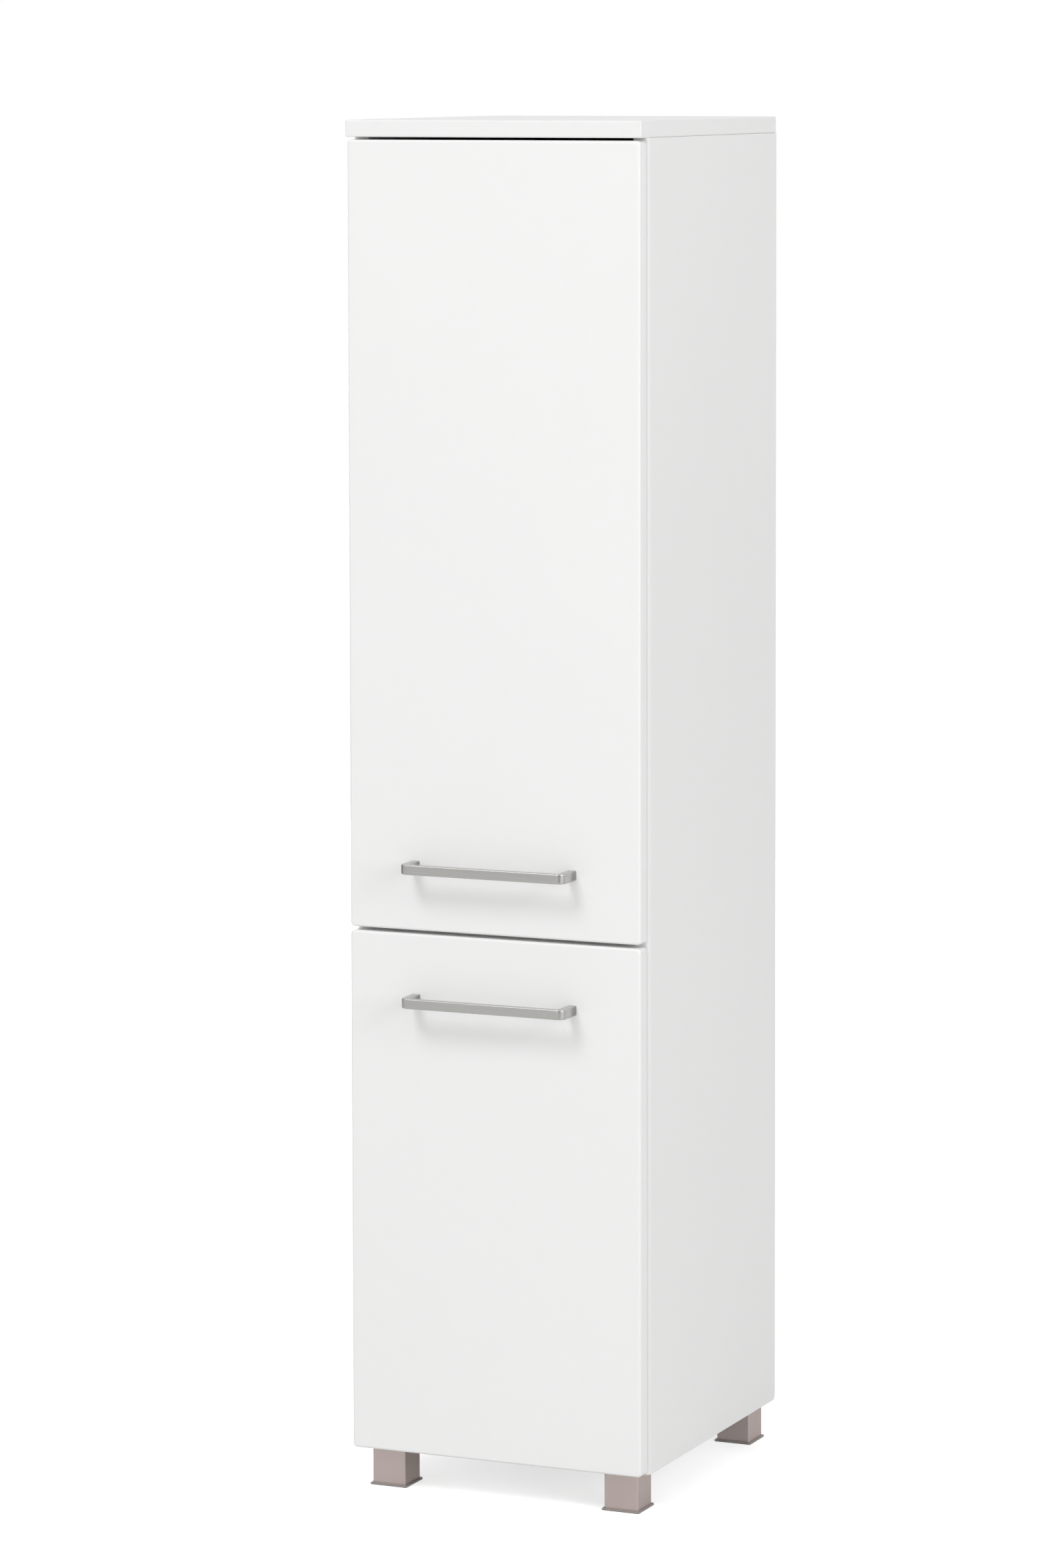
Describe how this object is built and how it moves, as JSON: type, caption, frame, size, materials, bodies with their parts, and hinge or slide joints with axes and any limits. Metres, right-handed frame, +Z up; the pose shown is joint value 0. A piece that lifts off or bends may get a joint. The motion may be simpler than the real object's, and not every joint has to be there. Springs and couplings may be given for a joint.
{
  "type": "bathroom cabinet",
  "caption": "Tall narrow white bathroom cabinet with overlay doors on concealed hinges, metal bar handles, inner shelves and square metal feet.",
  "frame": {"origin": "on the floor, under the middle of the whole box, handles included", "axes": "+Z up, -Y out of the doors, +X to the right as seen from the front"},
  "size_m": [0.3, 0.37, 1.3],
  "materials": {
    "door_white": "white foil on board, satin with a soft gloss",
    "board_white": "white faced board with matching edge band, satin",
    "back_white": "thin white faced fibreboard, matt",
    "dowel_wood": "plain beech, raw",
    "cam_zinc": "cast zinc alloy",
    "cap_white": "white moulded plastic",
    "handle_nickel": "brushed nickel, lengthwise grain",
    "bumper_clear": "clear soft rubber",
    "screw_steel": "nickel-plated steel",
    "hinge_nickel": "pressed steel, nickel-plated",
    "bracket_zinc": "zinc-plated steel",
    "foot_metal": "satin metal, warm grey",
    "pad_dark": "dark warm grey moulded plastic"
  },
  "bodies": {
    "carcass": {"adjustable_shelf_lower": "board_white", "adjustable_shelf_upper_high": "board_white", "adjustable_shelf_upper_low": "board_white", "back_panel": "back_white", "bottom_panel": "board_white", "cam_bolts": "cam_zinc", "cam_caps": "cap_white", "cam_locks": "cam_zinc", "foot_leg_back_left": "foot_metal", "foot_leg_back_right": "foot_metal", "foot_leg_front_left": "foot_metal", "foot_leg_front_right": "foot_metal", "foot_plate_back_left": "bracket_zinc", "foot_plate_back_right": "bracket_zinc", "foot_plate_front_left": "bracket_zinc", "foot_plate_front_right": "bracket_zinc", "foot_screws": "screw_steel", "hinge_arm_screws": "screw_steel", "hinge_plate_screws": "screw_steel", "lower_hinge_arms": "hinge_nickel", "lower_hinge_pins": "hinge_nickel", "lower_hinge_plates": "hinge_nickel", "middle_shelf": "board_white", "shelf_pins": "hinge_nickel", "side_panel_left": "board_white", "side_panel_right": "board_white", "top_panel": "board_white", "upper_hinge_arms": "hinge_nickel", "upper_hinge_pins": "hinge_nickel", "upper_hinge_plates": "hinge_nickel", "wall_bracket_left": "bracket_zinc", "wall_bracket_right": "bracket_zinc", "wall_bracket_screws": "screw_steel", "wood_dowels": "dowel_wood"},
    "upper_door": {"upper_door_panel": "door_white", "upper_handle": "handle_nickel", "upper_handle_screws": "screw_steel", "upper_door_bumpers": "bumper_clear", "upper_hinge_cups": "hinge_nickel", "upper_cup_screws": "screw_steel"},
    "lower_door": {"lower_door_panel": "door_white", "lower_handle": "handle_nickel", "lower_handle_screws": "screw_steel", "lower_door_bumpers": "bumper_clear", "lower_hinge_cups": "hinge_nickel", "lower_cup_screws": "screw_steel"},
    "upper_levers": {"upper_hinge_levers": "hinge_nickel"},
    "lower_levers": {"lower_hinge_levers": "hinge_nickel"},
    "adjuster_front_left": {"foot_adjuster_front_left": "pad_dark"},
    "adjuster_front_right": {"foot_adjuster_front_right": "pad_dark"},
    "adjuster_back_left": {"foot_adjuster_back_left": "pad_dark"},
    "adjuster_back_right": {"foot_adjuster_back_right": "pad_dark"}
  },
  "joints": [
    {"name": "upper_door_swing", "type": "hinge", "parent": "carcass", "child": "upper_door", "pos_m": [-0.1423, -0.1508, 0.91075], "axis": [0, 0, -1], "range_deg": [0, 110]},
    {"name": "upper_lever_swing", "type": "hinge", "parent": "carcass", "child": "upper_levers", "pos_m": [-0.1152, -0.1397, 0.91075], "axis": [0, 0, 1], "range_deg": [0, 29]},
    {"name": "lower_door_swing", "type": "hinge", "parent": "carcass", "child": "lower_door", "pos_m": [-0.1423, -0.1508, 0.288], "axis": [0, 0, -1], "range_deg": [0, 110]},
    {"name": "lower_lever_swing", "type": "hinge", "parent": "carcass", "child": "lower_levers", "pos_m": [-0.1152, -0.1397, 0.288], "axis": [0, 0, 1], "range_deg": [0, 29]},
    {"name": "foot_front_left_height", "type": "slide", "parent": "carcass", "child": "adjuster_front_left", "axis": [0, 0, -1], "range_m": [0, 0.006]},
    {"name": "foot_front_right_height", "type": "slide", "parent": "carcass", "child": "adjuster_front_right", "axis": [0, 0, -1], "range_m": [0, 0.006]},
    {"name": "foot_back_left_height", "type": "slide", "parent": "carcass", "child": "adjuster_back_left", "axis": [0, 0, -1], "range_m": [0, 0.006]},
    {"name": "foot_back_right_height", "type": "slide", "parent": "carcass", "child": "adjuster_back_right", "axis": [0, 0, -1], "range_m": [0, 0.006]}
  ],
  "couplings": [
    {"joint": "upper_lever_swing", "follows": "upper_door_swing", "ratio": 0.263},
    {"joint": "lower_lever_swing", "follows": "lower_door_swing", "ratio": 0.263}
  ]
}
